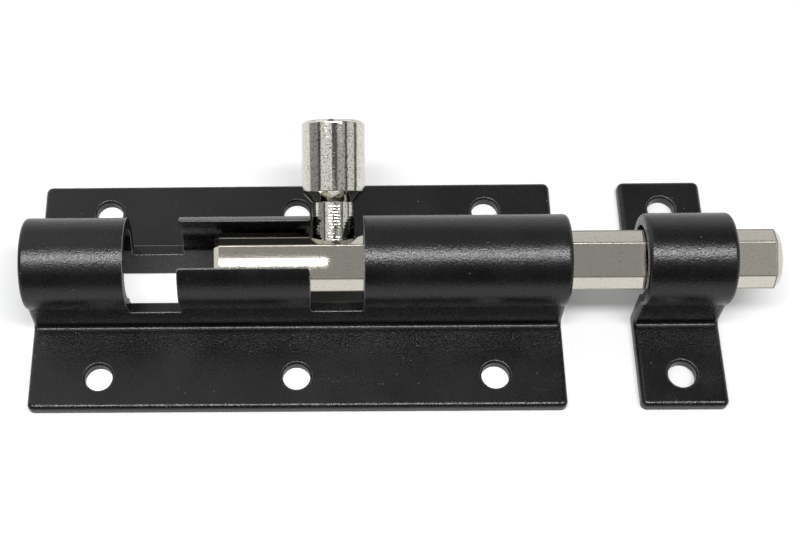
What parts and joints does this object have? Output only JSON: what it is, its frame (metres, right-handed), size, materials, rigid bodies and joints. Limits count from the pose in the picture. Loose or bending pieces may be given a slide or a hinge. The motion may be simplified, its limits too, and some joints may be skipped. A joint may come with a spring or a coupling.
{
  "type": "door bolt",
  "caption": "Surface door bolt: folded sheet case with a notched slot, a square bar turned and thrown by a round knob, and a matching keeper.",
  "frame": {"origin": "middle of the case's screw pattern, on the case's back face", "axes": "+X along the bar towards the keeper, +Y across the flanges towards the side the knob leans to, +Z away from the door"},
  "size_m": [0.1392, 0.0494, 0.031],
  "materials": {
    "black_coat": "satin black powder coat on sheet steel",
    "black_coat_keeper": "satin black powder coat on sheet steel",
    "nickel_bar": "drawn steel, satin nickel plated",
    "nickel_knob": "turned steel, bright nickel plated"
  },
  "bodies": {
    "case": {"case": "black_coat"},
    "bolt": {"bolt_bar": "nickel_bar", "knob": "nickel_knob"},
    "keeper": {"keeper": "black_coat_keeper"}
  },
  "joints": [
    {"name": "bolt_turn", "type": "hinge", "parent": "case", "child": "bolt", "pos_m": [0.00715, 0, 0.01384], "axis": [1, 0, 0], "range_deg": [-38, 162]},
    {"name": "keeper_off", "type": "slide", "parent": "case", "child": "keeper", "axis": [1, 0, 0], "range_m": [0, 0.0338]}
  ]
}
